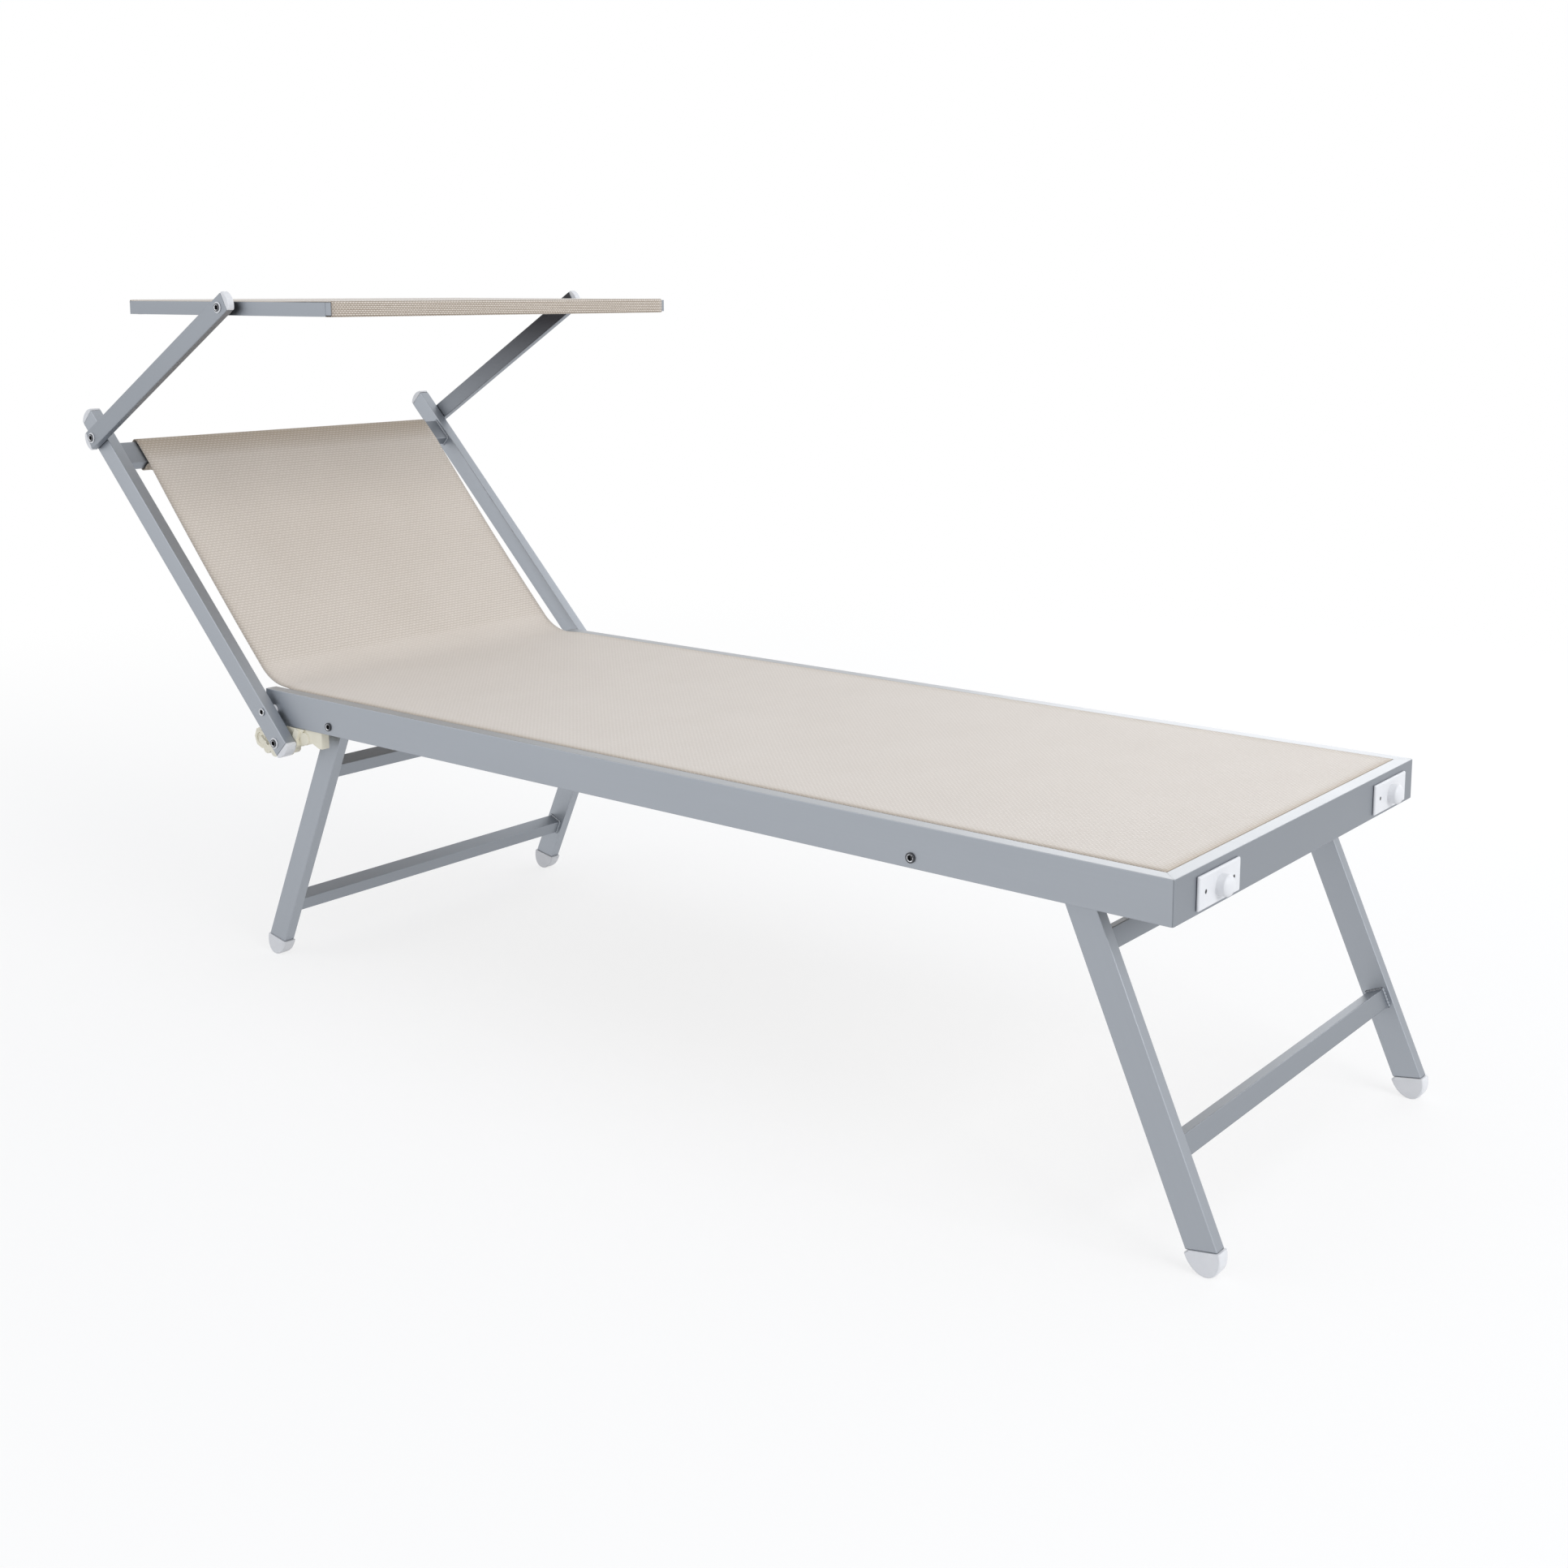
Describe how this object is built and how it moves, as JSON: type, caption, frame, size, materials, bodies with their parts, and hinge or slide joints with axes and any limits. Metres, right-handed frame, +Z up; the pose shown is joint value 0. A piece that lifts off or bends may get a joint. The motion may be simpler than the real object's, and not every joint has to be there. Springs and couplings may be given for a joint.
{
  "type": "sun lounger with canopy",
  "caption": "Folding aluminium sun lounger with a taut sling seat, a reclining backrest and a small tilting canopy carried on two swinging arms.",
  "frame": {"origin": "on the floor, under the middle of the lounger's box as it stands with the backrest at 45 degrees", "axes": "+X along the bed towards the foot end, +Y towards the left side of the person lying on it, +Z up"},
  "size_m": [1.7414, 0.6402, 0.8988],
  "materials": {
    "aluminium": "satin anodised extrusion",
    "sling": "coated mesh weave, beige",
    "white_plastic": "smooth moulded, off-white",
    "cream_nylon": "natural nylon moulding",
    "black_nylon": "black nylon disc",
    "screw_steel": "bright steel socket head"
  },
  "bodies": {
    "bed_frame": {"side_rail_right": "aluminium", "side_rail_left": "aluminium", "foot_rail": "aluminium", "seat_fabric": "sling", "recline_bracket_right": "cream_nylon", "recline_bracket_left": "cream_nylon", "bracket_screw_right": "screw_steel", "bracket_screw_left": "screw_steel", "leg_guide_stud_right": "screw_steel", "leg_guide_stud_left": "screw_steel", "foot_bumper_right": "white_plastic", "foot_bumper_left": "white_plastic", "rear_leg_bolt_right": "screw_steel", "rear_leg_bolt_left": "screw_steel", "front_leg_bolt_right": "screw_steel", "front_leg_bolt_left": "screw_steel"},
    "backrest": {"backrest_tube_right": "aluminium", "backrest_tube_left": "aluminium", "backrest_top_cap_right": "white_plastic", "backrest_top_cap_left": "white_plastic", "backrest_bottom_cap_right": "white_plastic", "backrest_bottom_cap_left": "white_plastic", "backrest_top_bar": "aluminium", "backrest_fabric": "sling", "backrest_pivot_bolt_right": "screw_steel", "backrest_pivot_bolt_left": "screw_steel", "backrest_pivot_spacer_right": "white_plastic", "backrest_pivot_spacer_left": "white_plastic", "recline_pin_right": "screw_steel", "recline_pin_left": "screw_steel"},
    "canopy_arms": {"canopy_arm_right": "aluminium", "canopy_arm_left": "aluminium", "arm_lower_cap_right": "white_plastic", "arm_lower_cap_left": "white_plastic", "arm_upper_cap_right": "white_plastic", "arm_upper_cap_left": "white_plastic", "arm_lower_bolt_right": "screw_steel", "arm_lower_bolt_left": "screw_steel", "arm_upper_bolt_right": "screw_steel", "arm_upper_bolt_left": "screw_steel"},
    "canopy": {"canopy_rail_right": "aluminium", "canopy_rail_left": "aluminium", "canopy_front_bar": "aluminium", "canopy_rear_bar": "aluminium", "canopy_fabric": "sling", "canopy_spacer_right": "black_nylon", "canopy_spacer_left": "black_nylon"},
    "rear_legs": {"rear_leg_right": "aluminium", "rear_leg_left": "aluminium", "rear_foot_right": "white_plastic", "rear_foot_left": "white_plastic", "rear_leg_upper_brace": "aluminium", "rear_leg_lower_brace": "aluminium"},
    "front_legs": {"front_leg_right": "aluminium", "front_leg_left": "aluminium", "front_foot_right": "white_plastic", "front_foot_left": "white_plastic", "front_leg_upper_brace": "aluminium", "front_leg_lower_brace": "aluminium"}
  },
  "joints": [
    {"name": "backrest_recline", "type": "hinge", "parent": "bed_frame", "child": "backrest", "pos_m": [-0.48085, 0, 0.3538], "axis": [0, 1, 0], "range_deg": [-45, 32]},
    {"name": "arm_swing", "type": "hinge", "parent": "backrest", "child": "canopy_arms", "pos_m": [-0.83144, 0, 0.69646], "axis": [0, 1, 0], "range_deg": [-104, 30]},
    {"name": "canopy_tilt", "type": "hinge", "parent": "canopy_arms", "child": "canopy", "pos_m": [-0.52533, 0, 0.87822], "axis": [0, 1, 0], "range_deg": [-90, 90]},
    {"name": "rear_legs_fold", "type": "hinge", "parent": "bed_frame", "child": "rear_legs", "pos_m": [-0.38495, 0, 0.352], "axis": [0, -1, 0], "range_deg": [0, 114]},
    {"name": "front_legs_fold", "type": "hinge", "parent": "bed_frame", "child": "front_legs", "pos_m": [0.70475, 0, 0.352], "axis": [0, 1, 0], "range_deg": [0, 114]}
  ]
}
